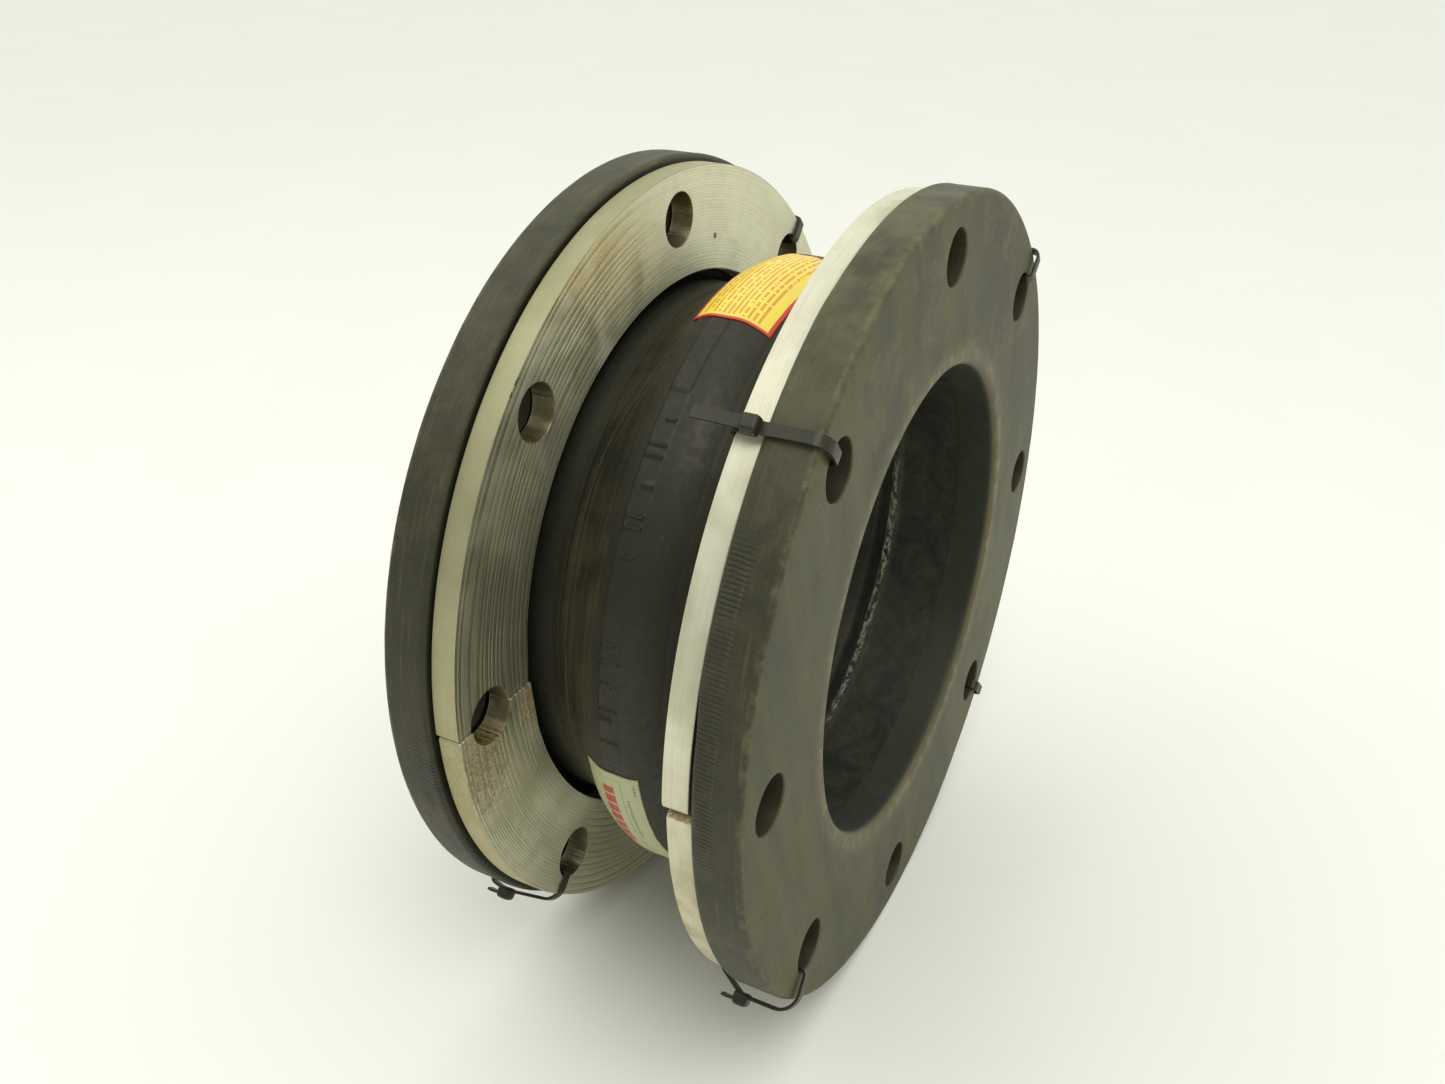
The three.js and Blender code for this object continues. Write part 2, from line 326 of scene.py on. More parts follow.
def band_height(x, angle):
    angle %= 360
    across = smoothstep(rise(x, BAND_X[0], BAND_X[1], BAND_SLOPE))
    if not across:
        return 0.0
    height = BAND_HEIGHT * rise(angle, *BAND_ANGLES, STEP * 2) * across
    plate = rise(angle, BAND_PLATE_FROM, BAND_ANGLES[1], STEP * 2) * across
    height = max(height, PLATE_HEIGHT * plate)
    for middle, low, high in BARS:
        if abs(angle - middle) < BAR_HALF + STEP:
            bar = rise(angle, middle - BAR_HALF - STEP, middle + BAR_HALF + STEP, STEP)
            height += BAR_HEIGHT * bar * rise(x, low, high, BAR_SLOPE)
    return height


def skin_r(x, angle):
    """The radius of the cover's surface."""
    angle %= 360
    r = outer_r(x)
    flank = smoothstep((FLANGE_BACK - 2 - abs(x)) / 6)
    r += bulge(x, angle) + SWELL * flank * wave(x, r, angle, SWELL_SIZE, 1.0)
    r += 0.10 * flank * wave(x, r, angle, 9, 2.0)
    t = ((angle - WRAP_FROM) % 360) / (WRAP_TO - WRAP_FROM)
    for first, last, depth, half in WRAP_LINES:
        centre = first + (last - first) * min(t, 1.2) + 0.8 * wave(0, 120, angle, 60, first)
        fade = 0.6 + 0.4 * wave(0, 120, angle, 45, depth * 9)
        r -= depth * fade * line_depth(x, centre, half)
    if FOLD["fades_in"] < angle < FOLD["to"]:
        fade = smoothstep((angle - FOLD["fades_in"]) / 60)
        crease = fold_x(angle) + 0.5 * wave(0, 120, angle, 30)
        r -= FOLD["depth"] * fade * line_depth(x, crease, FOLD["half"])
        r += 0.35 * fade * line_depth(x, fold_x(angle) + 1.6, 1.2)
    return r + band_height(x, angle)


def tube_r(x, angle):
    """The radius of the bore's surface."""
    r = inner_r(x)
    return r + 0.30 * wave(x, r, angle, 30, 5.0) * smoothstep((FLANGE_BACK - abs(x)) / 8)


def skin_angles():
    """Every degree, and the edges of what is raised on the band."""
    angles = set(np.arange(0.0, 360.0, 1.0))
    for edge in (*BAND_ANGLES, BAND_PLATE_FROM):
        angles |= {edge - 2 * STEP, edge, edge + 2 * STEP}
    for middle, _, _ in BARS:
        for side in (-1, 1):
            angles |= {middle + side * BAR_HALF, middle + side * (BAR_HALF + STEP)}
    ordered = sorted(a % 360 for a in angles)
    return [a for i, a in enumerate(ordered) if i == 0 or a - ordered[i - 1] > 0.05]


ANGLES = skin_angles()


def stations(start, end, step, wanted=()):
    count = max(1, round((end - start) / step))
    xs = [start + (end - start) * i / count for i in range(count + 1)]
    xs += [x for x in wanted if start < x < end]
    xs.sort()
    return [x for i, x in enumerate(xs) if i == 0 or x - xs[i - 1] > 0.08]


BAND_EDGES = [BAND_X[0], -5.2, -4.9, -2.2, -1.9, -0.1, 0.2, 2.1, 2.4, BAND_X[1]]


def keep_rest(piece):
    """Stores each point's place at rest, so that a material stays on the rubber as it bends."""
    mesh = piece.data
    rest = np.empty(len(mesh.vertices) * 3, np.float32)
    mesh.vertices.foreach_get("co", rest)
    mesh.attributes.new("rest", "FLOAT_VECTOR", "POINT").data.foreach_set("vector", rest)


SKIN_STEP, TUBE_STEP = 0.55, 1.6
WALL_SHARES = (0.0, 0.35, 0.7, 1.0)


def skin(name, start, end, body_a, body_b, stands_for):
    """One length of the spool's wall: its cover, its bore and the cut face at each end."""
    built = Builder()
    xs = stations(start, end, SKIN_STEP, BAND_EDGES)
    outside = [[at(x, skin_r(x, a), a) for a in ANGLES] for x in xs]
    inside = [[at(x, tube_r(x, a), a) for a in ANGLES] for x in stations(start, end, TUBE_STEP)]
    built.grid(outside)
    built.grid(inside)
    for x in (start, end):
        rows = [
            [at(x, tube_r(x, a) + (skin_r(x, a) - tube_r(x, a)) * t, a) for a in ANGLES]
            for t in WALL_SHARES
        ]
        built.grid(rows)
    piece = built.piece(f"{name}_skin", sharp=55)
    keep_rest(piece)
    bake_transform(piece)
    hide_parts(*stands_for)
    piece.data.materials.append(rubber_skin())


# ---------------- rubber flanges

TURN = list(np.arange(0.0, 360.0, 1.0))
HOLE_POINTS = 48
HOLE_EDGE = 0.7
QUARTER = quarter_round(4)
HOLE_QUARTER = quarter_round(3)


def clear_of(centres, u, v, reach):
    return all(math.hypot(u - cu, v - cv) > reach for cu, cv in centres)


def drilled_annulus(low, high, centres, hole_r, spacing):
    """A flat ring with round holes, as (points, triangles) in the Y-Z plane."""
    loops = [[at(0, r, a)[1:] for a in TURN] for r in (low, high)]
    loops += [circle(cu, cv, hole_r, HOLE_POINTS) for cu, cv in centres]
    extra = []
    rings = max(2, round((high - low) / spacing))
    for j in range(1, rings):
        r = low + (high - low) * j / rings
        count = round(2 * math.pi * r / spacing)
        for i in range(count):
            u, v = at(0, r, 360 * (i + 0.5 * (j % 2)) / count)[1:]
            if clear_of(centres, u, v, hole_r + 0.6 * spacing):
                extra.append((u, v))
    for cu, cv in centres:
        extra += circle(cu, cv, hole_r + 0.3 * spacing, HOLE_POINTS // 2)

    def keep(u, v):
        return low < math.hypot(u, v) < high and clear_of(centres, u, v, hole_r * 0.999)

    return fill(loops, extra, keep)


def flange(end_name):
    side = SIDE[end_name]
    centres = hole_centres(TURNED[end_name])
    built = Builder()

    def turned(profile):
        built.grid([[at(side * d, r, a) for a in TURN] for d, r in profile])

    mouth = [
        (HALF - BORE_EDGE + BORE_EDGE * math.sin(t), BORE_R + BORE_EDGE * (1 - math.cos(t)))
        for t in np.linspace(0, math.pi / 2, 9)
    ]
    turned([(FLANGE_BACK + 2.5 * i, BORE_R) for i in range(6)] + mouth)
    front_edge = [(HALF - RIM_EDGE * away, FLANGE_R - RIM_EDGE * short) for away, short in QUARTER]
    back_edge = [(FLANGE_BACK + RIM_EDGE * away, FLANGE_R - RIM_EDGE * short) for away, short in QUARTER]
    between = [(d, FLANGE_R) for d in np.linspace(HALF - RIM_EDGE, FLANGE_BACK + RIM_EDGE, 14)[1:-1]]
    turned(front_edge + between + back_edge[::-1])
    back_low = NECK_R + NECK_FILLET
    turned([(FLANGE_BACK, r) for r in np.linspace(BORE_R, back_low, 5)])

    hole_face_r = BOLT_HOLE_R + HOLE_EDGE
    for d, low, spacing in ((HALF, BORE_R + BORE_EDGE, 4.0), (FLANGE_BACK, back_low, 7.0)):
        points, triangles = drilled_annulus(low, FLANGE_R - RIM_EDGE, centres, hole_face_r, spacing)
        built.flat(points, triangles, lambda u, v, d=d: (side * d, u, v))

    wall = [(HALF - HOLE_EDGE * away, BOLT_HOLE_R + HOLE_EDGE * short) for away, short in HOLE_QUARTER]
    wall += [(d, BOLT_HOLE_R) for d in np.linspace(HALF - HOLE_EDGE, FLANGE_BACK + HOLE_EDGE, 7)[1:-1]]
    wall += [
        (FLANGE_BACK + HOLE_EDGE * away, BOLT_HOLE_R + HOLE_EDGE * short)
        for away, short in HOLE_QUARTER[::-1]
    ]
    for cu, cv in centres:
        built.grid([[(side * d, u, v) for u, v in circle(cu, cv, r, HOLE_POINTS)] for d, r in wall])

    def wear(x, y, z):
        """Rubber isn't quite true: the face, the rim and the bore's mouth swell and sink a little."""
        r = math.hypot(y, z)
        angle = math.degrees(math.atan2(y, z))
        away = smoothstep((abs(x) - FLANGE_BACK) / 6)
        sink = 0.14 * wave(x, r, angle, 24, 7.0 * side) + 0.06 * wave(x, r, angle, 7, 3.0 * side) - 0.12
        x += side * away * sink
        swell = 0.20 * wave(x, r, angle, 30, 11.0 * side) + 0.06 * wave(x, r, angle, 8, 5.0) - 0.18
        k = (r + swell * smoothstep((r - BORE_R - 20) / 40) * away) / r
        if side > 0 and abs(x) < FLANGE_BACK + 5:
            pressed = smoothstep((angle + 77) / 5) * smoothstep((-20 - angle) / 8)
            pressed *= smoothstep((r - 160) / 8)
            x -= side * 0.85 * pressed * smoothstep((FLANGE_BACK + 5 - abs(x)) / 5)
        return (x, y * k, z * k)

    piece = built.piece(f"{end_name}_rubber_flange", sharp=50, bend=wear)
    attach(piece, f"{end_name}_end")
    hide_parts(*[f"{end_name}_flange_{layer}" for layer in ("face", "plies", "back")])
    keep_flat(piece)
    piece.data.materials.append(rubber_flange(end_name))


# ---------------- retaining rings

RING_EDGE = 0.4
CORNER_ROUND = {"rear": 1.2, "front": 3.0}


def cut_corners(points, reach):
    """Replaces each point whose index is in reach with a short curve that starts reach[index] before it."""
    made = []
    for i, p in enumerate(points):
        if i not in reach:
            made.append(p)
            continue
        before, after = Vector(points[i - 1]), Vector(points[(i + 1) % len(points)])
        corner = Vector(p)
        start = corner + (before - corner).normalized() * reach[i]
        end = corner + (after - corner).normalized() * reach[i]
        for t in np.linspace(0, 1, 5):
            made.append(tuple(start * (1 - t) ** 2 + corner * 2 * t * (1 - t) + end * t**2))
    return made


def half_outline(inset, split, corner):
    """The outline of a ring's upper half, in its own turned plane, drawn in by inset."""
    v0 = split / 2 + inset
    outer, inner, hole = RING_OUTER_R - inset, RING_INNER_R + inset, BOLT_HOLE_R + inset

    def arc(cu, r, start, end, count):
        """Points from start to end degrees, counted from the right-hand side, anticlockwise."""
        return [
            (cu + r * math.cos(math.radians(a)), r * math.sin(math.radians(a)))
            for a in np.linspace(start, end, count)
        ]

    low, cut, near = (math.degrees(math.asin(v0 / r)) for r in (outer, hole, inner))
    points = []
    reach = {}
    for more, size in (
        (arc(0, outer, low, 180 - low, 150), corner),
        (arc(-BOLT_CIRCLE_R, hole, 180 - cut, cut, 25), 0.5),
        (arc(0, inner, 180 - near, near, 120), 0.8),
        (arc(BOLT_CIRCLE_R, hole, 180 - cut, cut, 25), 0.5),
    ):
        reach[len(points)] = size
        points.extend(more)
        reach[len(points) - 1] = size
    return cut_corners(points, reach)


def ring_half(end_name, half):
    side = SIDE[end_name]
    node = f"{end_name}_retaining_ring_{half}"
    split = SPLIT[end_name]
    step, lean = MOVED_IN.get((end_name, half), 0.0), LEAN.get((end_name, half), 0.0)
    low, high = sorted(abs(c.x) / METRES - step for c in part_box(node))
    flip = 1 if half == "upper" else -1
    turn = math.radians(TURNED[end_name])
    whole = hole_centres(0, (-1, 0, 1) if half == "upper" else (3, 4, 5))

    def place(d):
        def turned(u, v):
            y, z = u * math.cos(turn) + v * math.sin(turn), v * math.cos(turn) - u * math.sin(turn)
            return (side * (d + lean * z), y, z)

        return turned

    def outline(inset):
        return [(u, flip * v) for u, v in half_outline(inset, split, CORNER_ROUND[end_name])]

    profile = [(low + RING_EDGE * away, RING_EDGE * short) for away, short in HOLE_QUARTER]
    profile += [(high - RING_EDGE * away, RING_EDGE * short) for away, short in HOLE_QUARTER[::-1]]
    built = Builder()
    built.grid([[place(d)(u, v) for u, v in outline(inset)] for d, inset in profile])
    for cu, cv in whole:
        rows = [(d, circle(cu, cv, BOLT_HOLE_R + inset, HOLE_POINTS)) for d, inset in profile]
        built.grid([[place(d)(u, v) for u, v in points] for d, points in rows])

    def keep(u, v):
        if not RING_INNER_R < math.hypot(u, v) < RING_OUTER_R or flip * v < split / 2:
            return False
        split_holes = [(-BOLT_CIRCLE_R, 0), (BOLT_CIRCLE_R, 0)]
        return clear_of(whole + split_holes, u, v, BOLT_HOLE_R + 0.98 * RING_EDGE)

    loops = [outline(RING_EDGE)]
    loops += [circle(cu, cv, BOLT_HOLE_R + RING_EDGE, HOLE_POINTS) for cu, cv in whole]
    inside = [
        at(0, r, a)[1:]
        for r in np.linspace(RING_INNER_R + 4, RING_OUTER_R - 4, 7)
        for a in np.arange(1.0, 360.0, 2.5)
    ]
    inside = [(u, v) for u, v in inside if keep(u, v) and keep(u, v - 2.5 * flip)]
    inside = [(u, v) for u, v in inside if clear_of(whole, u, v, BOLT_HOLE_R + 2.5)]
    points, triangles = fill(loops, inside, keep)
    for d in (low, high):
        built.flat(points, triangles, place(d))
    piece = built.piece(f"{node}_steel", sharp=40)
    for face in piece.data.polygons:
        face.use_smooth = abs(face.normal.x) < 0.999
    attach(piece, f"{end_name}_end")
    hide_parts(node)
    piece.data.materials.append(ring_steel(end_name))


# ---------------- cable ties

TIE_W = 4.6
TIE_T = 1.3
HEAD_LONG, HEAD_WIDE, HEAD_HIGH = 6.6, 6.6, 5.2
TOOTH_PITCH, TOOTH_HEIGHT = 1.3, 0.16

# Points on a tie's path are (distance from the middle plane, radius, rounding of the corner). Every loop
# has this leg through its bolt hole. The rest of it goes from over the face, past the head, to the ring.
LEG = [(41.7, 158.35, 2.0), (75.0, 158.35, 2.4)]
HUGGING = [(75.2, 173.0, 3.6), (55.0, 172.6, 4.0), (42.0, 169.6, 1.8)]
# Each tie's corners, the middle of its head's foot and the length of its spare end.
TIES = {
    "front_cable_tie_1": (HUGGING, (50.0, 171.6), 7),
    "front_cable_tie_3": (HUGGING, (60.0, 172.2), 7),
    "front_cable_tie_5": ([(75.6, 176.4, 8.5), (53.0, 176.8, 2.5), (41.7, 169.6, 2.0)], (53.0, 176.9), 5),
    "front_cable_tie_7": ([(76.0, 174.0, 6.0), (50.0, 172.6, 9.0), (41.7, 170.6, 2.2)], (49.0, 172.9), 17),
    "rear_cable_tie_1": (HUGGING, (66.0, 172.5), 6),
    "rear_cable_tie_3": (HUGGING, (60.0, 172.2), 7),
    "rear_cable_tie_5": ([(75.2, 173.4, 2.6), (67.0, 175.2, 2.5), (41.5, 171.4, 7.5)], (67.0, 175.2), 5),
}


def rounded(corners, step=0.6):
    """A closed path of 2D points through corners of (u, v, rounding)."""
    path = []
    count = len(corners)
    for i, (u, v, r) in enumerate(corners):
        corner = Vector((u, v))
        before = (Vector(corners[i - 1][:2]) - corner).normalized()
        after = (Vector(corners[(i + 1) % count][:2]) - corner).normalized()
        half = before.angle(after) / 2
        reach = r / math.tan(half)
        centre = corner + (before + after).normalized() * (r / math.sin(half))
        start = corner + before * reach - centre
        sweep = math.pi - 2 * half
        turn = -1 if before.cross(after) > 0 else 1
        for t in np.linspace(0, 1, max(3, round(r * sweep / step))):
            cos, sin = math.cos(turn * sweep * t), math.sin(turn * sweep * t)
            path.append(centre + Vector((start.x * cos - start.y * sin, start.x * sin + start.y * cos)))
    full = []
    for i, p in enumerate(path):
        q = path[(i + 1) % len(path)]
        parts = max(1, round((q - p).length / step))
        full.extend(p.lerp(q, j / parts) for j in range(parts))
    return full


def bar_outline(half_u, half_v, corner):
    """A rectangle with rounded corners, each through points (short of its side, short of its end)."""
    outline = []
    for su, sv in ((1, 1), (-1, 1), (-1, -1), (1, -1)):
        for du, dv in corner if su * sv > 0 else corner[::-1]:
            outline.append((su * (half_u - du), sv * (half_v - dv)))
    return outline


def strap(built, path, closed, place):
    """Sweeps a strap's section, a flat bar with a row of teeth inside, along a path."""
    section = bar_outline(TIE_W / 2, TIE_T / 2, [(0.0, 0.32), (0.09, 0.09), (0.32, 0.0)])
    rows = []
    along = 0.0
    count = len(path)
    for i, p in enumerate(path):
        q = path[(i + 1) % count] if closed or i + 1 < count else p + (p - path[i - 1])
        b = path[i - 1] if closed or i else p - (q - p)
        normal = Vector((-(q - b).y, (q - b).x)).normalized()
        tooth = TOOTH_HEIGHT * (0.5 + 0.5 * math.sin(2 * math.pi * along / TOOTH_PITCH))
        row = []
        for su, sv in section:
            toothed = sv < 0 and abs(su) < TIE_W / 2 - 0.3
            spot = p + normal * (sv + (tooth if toothed else 0.0))
            row.append(place(spot.x, spot.y, su))
        rows.append(row)
        along += (q - p).length
    if closed:
        built.grid(rows + [rows[0]])
    else:
        built.capped(rows)


def head_block(built, centre, place):
    """A cable tie's head: a block with rounded corners, its long way along the strap."""
    half = HEAD_HIGH / 2
    levels = [
        (-half, -0.9), (-half + 0.25, -0.3), (-half + 0.8, 0.0), (half - 1.6, -0.1),
        (half - 0.8, -0.3), (half - 0.3, -0.7), (half - 0.05, -1.3), (half, -1.9),
    ]
    rows = []
    for z, grow in levels:
        corner = [(0.0, 1.1), (0.33, 0.33), (1.1, 0.0)]
        outline = bar_outline(HEAD_LONG / 2 + grow, HEAD_WIDE / 2 + grow, corner)
        rows.append([place(centre.x + u, centre.y + z, v) for u, v in outline])
    built.capped(rows)


def cable_tie(node):
    end_name, _, _, hole = node.split("_")
    side = SIDE[end_name]
    corners, head_foot, spare = TIES[node]
    angle = HOLE_PITCH * int(hole) + TURNED[end_name]
    across = Vector(at(0, 1, angle + 90))

    def place(d, r, offset):
        return tuple(Vector(at(side * d, r, angle)) + across * offset)

    built = Builder()
    strap(built, rounded(LEG + corners), True, place)
    body = built.piece(f"{node}_strap", sharp=50)
    extra = Builder()
    middle = Vector(head_foot) + Vector((0, 1.3))
    head_block(extra, middle, place)
    start = HEAD_LONG / 2 - 1.5
    tail = [
        middle + Vector((-side * (start + (spare + 1.5) * t), 0.3 + 1.6 * t - 1.2 * t * t))
        for t in np.linspace(0, 1, 28)
    ]
    strap(extra, tail, False, place)
    head = extra.piece(f"{node}_head", sharp=40)
    for piece, part in ((body, "strap"), (head, "head")):
        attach(piece, f"{end_name}_end")
        keep_flat(piece)
        piece.data.materials.append(nylon(part))
    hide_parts(node)


# ---------------- labels

def label(name, spec, material):
    """A thin sheet on the arch, in one piece for each side of the middle plane."""
    (rear_x, front_x), (low_angle, high_angle) = spec["x"], spec["angles"]
    angles = np.linspace(low_angle, high_angle, round((high_angle - low_angle) / 0.5) + 1)

    def outer(x, a):
        """The sheet's outside. Its edges come down to the rubber, a little less where they've let go."""
        edge = min(x - rear_x, front_x - x, (a - low_angle) * 2.3, (high_angle - a) * 2.3)
        loose = 0.35 * smoothstep(1 - edge / 5) * max(0.0, wave(x, CROWN_R, a, 11, 4.0))
        r = outer_r(x) + bulge(x, a) + SWELL * wave(x, outer_r(x), a % 360, SWELL_SIZE, 1.0)
        return r + 0.12 + LABEL_T + loose

    drops = (0.0, LABEL_T + LABEL_SUNK)
    for part, low, high, body_a, body_b, start, end in (
        ("rear", rear_x, 0.0, "rear_shoulder", "crown", -CROWN_SEAM, 0),
        ("front", 0.0, front_x, "crown", "front_shoulder", 0, CROWN_SEAM),
    ):
        xs = stations(low, high, 0.8)
        built = Builder()
        for drop in drops:
            built.grid([[at(x, outer(x, a) - drop, a) for a in angles] for x in xs], closed=False)
        for a in (angles[0], angles[-1]):
            built.grid([[at(x, outer(x, a) - drop, a) for x in xs] for drop in drops], closed=False)
        for x in (xs[0], xs[-1]):
            built.grid([[at(x, outer(x, a) - drop, a) for a in angles] for drop in drops], closed=False)
        piece = built.piece(f"{name}_{part}", sharp=50)
        keep_rest(piece)
        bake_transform(piece)
        piece.data.materials.append(material)
        if part == "rear":
            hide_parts(f"{name}_label")


# ---------------- materials

def srgb(r, g, b):
    """An 8-bit sRGB colour as the linear colour that the shader sockets take."""
    linear = [c / 255 / 12.92 if c <= 10 else ((c / 255 + 0.055) / 1.055) ** 2.4 for c in (r, g, b)]
    return (*linear, 1.0)


class Nodes:
    """A node tree under construction. The methods return the sockets they make."""

    def __init__(self, tree):
        self.tree = tree

    def node(self, kind, inputs=None, **settings):
        made = self.tree.nodes.new(f"ShaderNode{kind}")
        for key, value in settings.items():
            setattr(made, key, value)
        for key, value in (inputs or {}).items():
            self.put(made.inputs[key], value)
        return made

    def put(self, socket, value):
        if isinstance(value, bpy.types.NodeSocket):
            self.tree.links.new(value, socket)
        else:
            socket.default_value = value

    def math(self, operation, a, b=0.0):
        return self.node("Math", {0: a, 1: b}, operation=operation).outputs[0]

    def add(self, *terms):
        return reduce(lambda a, b: self.math("ADD", a, b), terms)

    def sub(self, a, b):
        return self.math("SUBTRACT", a, b)

    def mul(self, *factors):
        """The product. Of masks, it is where all of them hold."""
        return reduce(lambda a, b: self.math("MULTIPLY", a, b), factors)

    def most(self, *values):
        return reduce(lambda a, b: self.math("MAXIMUM", a, b), values)

    def least(self, *values):
        return reduce(lambda a, b: self.math("MINIMUM", a, b), values)

    def step(self, value, low, high, start=0.0, end=1.0):
        """start below low, end above high, and a smooth climb between them."""
        inputs = {"Value": value, "From Min": low, "From Max": high, "To Min": start, "To Max": end}
        return self.node("MapRange", inputs, interpolation_type="SMOOTHSTEP").outputs["Result"]

    def below(self, value, low, high):
        """1 below low and 0 above high."""
        return self.step(value, low, high, 1.0, 0.0)

    def near(self, value, centre, half, soft=None):
        """1 within half of centre, falling to 0 over soft."""
        soft = half if soft is None else soft
        return self.below(self.math("ABSOLUTE", self.sub(value, centre)), half, half + soft)

    def vector(self, x, y, z=0.0):
        return self.node("CombineXYZ", {"X": x, "Y": y, "Z": z}).outputs[0]


class Paint(Nodes):
    """A material under construction, in millimetres. stored: its noise stays put as the piece bends."""

    def __init__(self, name, stored=False):
        self.material = bpy.data.materials.new(name)
        self.material.use_nodes = True
        super().__init__(self.material.node_tree)
        self.shader = self.tree.nodes["Principled BSDF"]
        if stored:
            raw = self.node("Attribute", attribute_name="rest").outputs["Vector"]
        else:
            raw = self.node("TexCoord").outputs["Object"]
        in_mm = {0: raw, 1: (1 / METRES,) * 3}
        self.spot = self.node("VectorMath", in_mm, operation="MULTIPLY").outputs[0]
        self.x, self.y, self.z = self.node("SeparateXYZ", {"Vector": self.spot}).outputs
        self.r = self.far(self.y, self.z)
        self.angle = self.math("DEGREES", self.math("ARCTAN2", self.y, self.z))
        self.turn = self.math("RADIANS", self.angle)

    def far(self, u, v):
        """How far (u, v) is from the origin."""
        return self.math("SQRT", self.add(self.math("POWER", u, 2), self.math("POWER", v, 2)))

    def noise(self, size, detail=3.0, rough=0.55, at=None, twist=0.0, shift=0.0):
        """Noise from about 0 to 1 whose lumps are about size mm across."""
        where = self.spot if at is None else at
        if shift:
            move = {0: where, 1: (shift, -0.7 * shift, 1.3 * shift)}
            where = self.node("VectorMath", move, operation="ADD").outputs[0]
        inputs = {"Vector": where, "Scale": 1.0 / size, "Detail": detail}
        inputs |= {"Roughness": rough, "Distortion": twist}
        return self.node("TexNoise", inputs).outputs["Fac"]

    def patchy(self, low, high, *size, **settings):
        """Patches of 1 where a noise is above high, with 0 where it is below low."""
        return self.step(self.noise(*size, **settings), low, high)

    def waves(self, value, pitch, phase):
        """Even waves from -1 to 1 along value, moved along by phase in radians."""
        return self.math("SINE", self.add(self.mul(value, 2 * math.pi / pitch), phase))

    def row(self, value, pitch, half, soft, middle=0.5):
        """A row of bars along value, one in each pitch. half, soft and middle are shares of the pitch."""
        return self.near(self.math("FRACT", self.math("DIVIDE", value, pitch)), middle, half, soft)

    def mix(self, amount, a, b):
        """Colour a where amount is 0, b where it is 1. A colour is a socket or 8-bit sRGB."""
        made = self.node("Mix", data_type="RGBA")
        for slot, value in ((0, amount), (6, a), (7, b)):
            self.put(made.inputs[slot], srgb(*value) if isinstance(value, tuple) else value)
        return made.outputs[2]

    def coats(self, colour, *coats):
        """Lays coats of (where, strength, colour) over a colour, one after another."""
        for where, strength, over in coats:
            colour = self.mix(self.mul(where, strength), colour, over)
        return colour

    def blend(self, amount, a, b):
        """Number a where amount is 0 and b where it is 1."""
        return self.node("Mix", {0: amount, 2: a, 3: b}, data_type="FLOAT").outputs[0]

    def polar(self, across, along, deep):
        """Coordinates for noise drawn out round the bore: (radius, angle, x), stretched by the factors."""
        cos = self.mul(self.math("COSINE", self.turn), along)
        sin = self.mul(self.math("SINE", self.turn), along)
        return self.vector(cos, sin, self.add(self.mul(self.r, across), self.mul(self.x, deep)))

    def finish(self, colour, rough, height=None, depth=0.1, **sockets):
        """Sets the shader. height is from 0 to 1, and stands for depth mm."""
        self.put(self.shader.inputs["Base Color"], colour)
        self.put(self.shader.inputs["Roughness"], rough)
        if height is not None:
            inputs = {"Height": height, "Distance": depth * METRES, "Strength": 1.0}
            self.put(self.shader.inputs["Normal"], self.node("Bump", inputs).outputs["Normal"])
        for name, value in sockets.items():
            self.put(self.shader.inputs[name.replace("_", " ")], value)
        return self.material


RIM_COLOURS = {
    "rear": ((150, 147, 110), (182, 179, 144)),
    "front": ((198, 195, 168), (236, 234, 214)),
}
NYLON_COLOURS = {
    "strap": ((26, 27, 22), (38, 39, 33)),
    "head": ((30, 30, 25), (44, 44, 37)),
}
DEGREE_MM = CROWN_R * math.pi / 180
BLACK = {"Specular_IOR_Level": 0.45, "Specular_Tint": (1.0, 0.96, 0.80, 1.0)}


